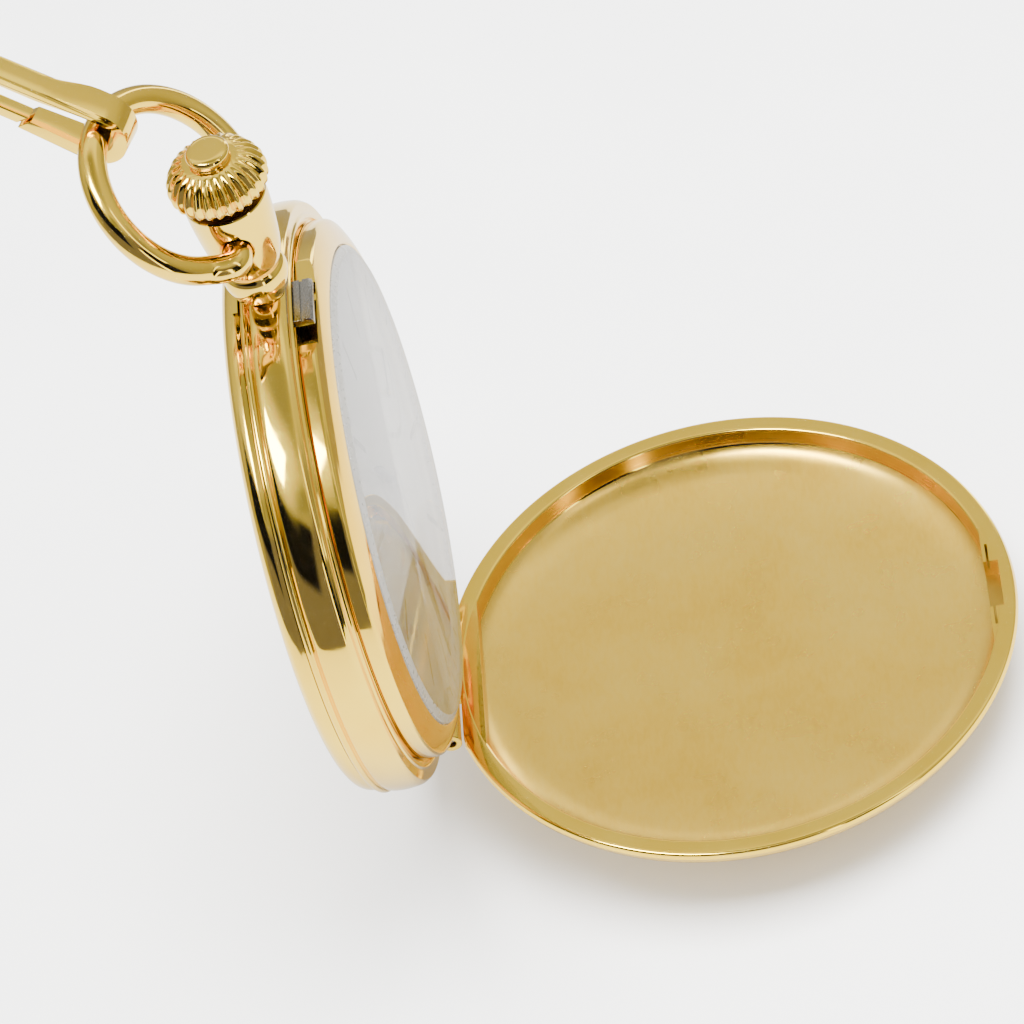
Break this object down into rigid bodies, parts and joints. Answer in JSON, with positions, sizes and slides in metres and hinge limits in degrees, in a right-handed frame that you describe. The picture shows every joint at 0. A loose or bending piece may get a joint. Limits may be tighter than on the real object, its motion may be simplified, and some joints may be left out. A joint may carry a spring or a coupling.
{
  "type": "hunter pocket watch",
  "caption": "Gold hunter pocket watch with sprung front cover open, glazed dial, fluted crown, round bow and a swivel clip.",
  "frame": {"origin": "centre of the flat case back", "axes": "+Z from the case centre to the pendant and crown; +Y out of the case back, the dial looks along -Y; the cover hinges are along X at the bottom"},
  "size_m": [0.05, 0.0827, 0.0875],
  "materials": {
    "polished_gold": "polished gold plate",
    "satin_gold": "satin inside of the covers",
    "steel": "polished steel",
    "blued_steel": "blued steel",
    "plated_brass": "matt plated plate and bridges",
    "wheel_brass": "brushed wheels",
    "dial": "pale dial",
    "crystal": "clear, bevelled edge",
    "ruby": "polished jewel"
  },
  "bodies": {
    "case": {"back_hinge_pin": "steel", "balance_cock": "plated_brass", "balance_cock_screw": "blued_steel", "balance_jewel": "ruby", "barrel_bridge": "plated_brass", "barrel_bridge_screw_1": "blued_steel", "barrel_bridge_screw_2": "blued_steel", "barrel_bridge_screw_3": "blued_steel", "bezel": "polished_gold", "case_band": "polished_gold", "crown_wheel_screw": "blued_steel", "crystal": "crystal", "cuvette_hinge_pin": "steel", "dial": "dial", "escape_jewel": "ruby", "fourth_jewel": "ruby", "front_hinge_pin": "steel", "hairspring": "blued_steel", "lift_spring": "steel", "main_plate": "plated_brass", "pallet_bridge": "plated_brass", "pendant": "polished_gold", "third_jewel": "ruby", "train_bridge": "plated_brass", "train_bridge_screw_1": "blued_steel", "train_bridge_screw_2": "blued_steel"},
    "front_cover": {"front_cover": "polished_gold"},
    "back_cover": {"back_cover": "polished_gold"},
    "cuvette": {"cuvette": "satin_gold"},
    "lock_spring": {"lock_spring": "steel"},
    "winding_pinion": {"winding_pinion": "steel"},
    "winding_stem": {"winding_stem": "steel"},
    "crown": {"crown": "polished_gold"},
    "sliding_clutch": {"sliding_clutch": "steel"},
    "setting_lever": {"setting_lever": "steel"},
    "crown_wheel": {"crown_wheel": "steel"},
    "ratchet": {"ratchet_wheel": "steel", "ratchet_screw": "blued_steel"},
    "click": {"click": "steel"},
    "minute": {"cannon_pinion": "steel", "minute_hand": "blued_steel"},
    "hour": {"hour_wheel": "wheel_brass", "hour_hand": "blued_steel"},
    "minute_wheel": {"minute_wheel": "wheel_brass"},
    "seconds": {"fourth_wheel": "wheel_brass", "seconds_hand": "blued_steel"},
    "third_wheel": {"third_wheel": "wheel_brass"},
    "centre_wheel": {"centre_wheel": "wheel_brass"},
    "barrel": {"mainspring_barrel": "wheel_brass"},
    "escape_wheel": {"escape_wheel": "wheel_brass"},
    "pallet_fork": {"pallet_fork": "steel"},
    "balance": {"balance_wheel": "wheel_brass"},
    "bow": {"bow": "polished_gold"},
    "clip": {"clip_hook": "polished_gold", "clip_gate_pin": "steel"},
    "clip_gate": {"clip_gate": "polished_gold"},
    "clip_eye": {"clip_swivel_eye": "polished_gold"}
  },
  "joints": [
    {"name": "front_cover_hinge", "type": "hinge", "parent": "case", "child": "front_cover", "pos_m": [0, -0.0065, -0.0248], "axis": [1, 0, 0], "range_deg": [-93.3, 0], "stiffness_Nm_per_rad": 0.004, "springref_deg": 34.38},
    {"name": "back_cover_hinge", "type": "hinge", "parent": "case", "child": "back_cover", "pos_m": [0, -0.00225, -0.02495], "axis": [1, 0, 0], "range_deg": [-95, 0]},
    {"name": "cuvette_hinge", "type": "hinge", "parent": "case", "child": "cuvette", "pos_m": [0, -0.00236, -0.0228], "axis": [1, 0, 0], "range_deg": [-81, 0]},
    {"name": "bow_swing", "type": "hinge", "parent": "case", "child": "bow", "pos_m": [0, -0.0044, 0.0326], "axis": [1, 0, 0], "range_deg": [-35, 115]},
    {"name": "winding_spin", "type": "hinge", "parent": "case", "child": "winding_pinion", "pos_m": [0, -0.0044, 0], "axis": [0, 0, 1], "continuous": true},
    {"name": "stem_pull", "type": "slide", "parent": "winding_pinion", "child": "winding_stem", "axis": [0, 0, 1], "range_m": [0, 0.0008]},
    {"name": "crown_push", "type": "slide", "parent": "winding_stem", "child": "crown", "axis": [0, 0, 1], "range_m": [-0.0005, 0], "stiffness_N_per_m": 400},
    {"name": "catch_slide", "type": "slide", "parent": "case", "child": "lock_spring", "axis": [0, 0, 1], "range_m": [-0.0005, 0]},
    {"name": "clutch_slide", "type": "slide", "parent": "winding_pinion", "child": "sliding_clutch", "axis": [0, 0, 1], "range_m": [-0.0006, 0]},
    {"name": "setting_lever_turn", "type": "hinge", "parent": "case", "child": "setting_lever", "pos_m": [0.0058, -0.0063, 0.0149], "axis": [0, 1, 0], "range_deg": [0, 8]},
    {"name": "crown_wheel_turn", "type": "hinge", "parent": "case", "child": "crown_wheel", "pos_m": [0, -0.0018, 0.01], "axis": [0, 1, 0], "continuous": true},
    {"name": "ratchet_turn", "type": "hinge", "parent": "case", "child": "ratchet", "pos_m": [-0.00656, -0.0018, 0.00379], "axis": [0, 1, 0], "continuous": true},
    {"name": "click_turn", "type": "hinge", "parent": "case", "child": "click", "pos_m": [-0.0131, -0.0018, 0.0083], "axis": [0, 1, 0], "range_deg": [-8, 8]},
    {"name": "minute_turn", "type": "hinge", "parent": "case", "child": "minute", "pos_m": [0, -0.007, 0], "axis": [0, 1, 0], "continuous": true},
    {"name": "hour_turn", "type": "hinge", "parent": "case", "child": "hour", "pos_m": [0, -0.007, 0], "axis": [0, 1, 0], "continuous": true},
    {"name": "minute_wheel_turn", "type": "hinge", "parent": "case", "child": "minute_wheel", "pos_m": [-0.0033, -0.0063, -0.0024], "axis": [0, 1, 0], "continuous": true},
    {"name": "seconds_turn", "type": "hinge", "parent": "case", "child": "seconds", "pos_m": [0.0105, -0.005, 0], "axis": [0, 1, 0], "continuous": true},
    {"name": "third_wheel_turn", "type": "hinge", "parent": "case", "child": "third_wheel", "pos_m": [0.00593, -0.004, 0.00379], "axis": [0, 1, 0], "continuous": true},
    {"name": "centre_wheel_turn", "type": "hinge", "parent": "case", "child": "centre_wheel", "pos_m": [0, -0.004, 0], "axis": [0, 1, 0], "continuous": true},
    {"name": "barrel_turn", "type": "hinge", "parent": "case", "child": "barrel", "pos_m": [-0.00656, -0.004, 0.00379], "axis": [0, 1, 0], "continuous": true},
    {"name": "escape_wheel_turn", "type": "hinge", "parent": "case", "child": "escape_wheel", "pos_m": [0.01003, -0.004, -0.00542], "axis": [0, 1, 0], "continuous": true},
    {"name": "pallet_fork_rock", "type": "hinge", "parent": "case", "child": "pallet_fork", "pos_m": [0.007, -0.0043, -0.00717], "axis": [0, 1, 0], "range_deg": [-6, 6]},
    {"name": "balance_swing", "type": "hinge", "parent": "case", "child": "balance", "pos_m": [0.0045, -0.0035, -0.012], "axis": [0, 1, 0], "range_deg": [-220, 220]},
    {"name": "clip_swing", "type": "hinge", "parent": "bow", "child": "clip", "pos_m": [0.00341, 0.00373, 0.04313], "axis": [0.9334, -0.3525, -0.0663], "range_deg": [-25, 25]},
    {"name": "clip_gate_swing", "type": "hinge", "parent": "clip", "child": "clip_gate", "pos_m": [0.01073, 0.02159, 0.05119], "axis": [0.9334, -0.3525, -0.0663], "range_deg": [-9, 0], "stiffness_Nm_per_rad": 0.002, "springref_deg": 17.19},
    {"name": "clip_eye_swivel", "type": "hinge", "parent": "clip", "child": "clip_eye", "pos_m": [0.00341, 0.00373, 0.04313], "axis": [0.3396, 0.8092, 0.4795], "continuous": true}
  ],
  "couplings": [
    {"joint": "cuvette_hinge", "follows": "back_cover_hinge", "ratio": 0.85},
    {"joint": "catch_slide", "follows": "crown_push", "ratio": 1},
    {"joint": "clutch_slide", "follows": "stem_pull", "ratio": -0.75},
    {"joint": "setting_lever_turn", "follows": "stem_pull", "rad_per_m": 174},
    {"joint": "crown_wheel_turn", "follows": "winding_spin", "ratio": -0.57143},
    {"joint": "ratchet_turn", "follows": "winding_spin", "ratio": 0.4},
    {"joint": "hour_turn", "follows": "minute_turn", "ratio": 0.083333},
    {"joint": "minute_wheel_turn", "follows": "minute_turn", "ratio": -0.33333},
    {"joint": "third_wheel_turn", "follows": "seconds_turn", "ratio": -0.13333},
    {"joint": "centre_wheel_turn", "follows": "seconds_turn", "ratio": 0.016667},
    {"joint": "barrel_turn", "follows": "seconds_turn", "ratio": -0.001852},
    {"joint": "escape_wheel_turn", "follows": "seconds_turn", "ratio": -10}
  ]
}
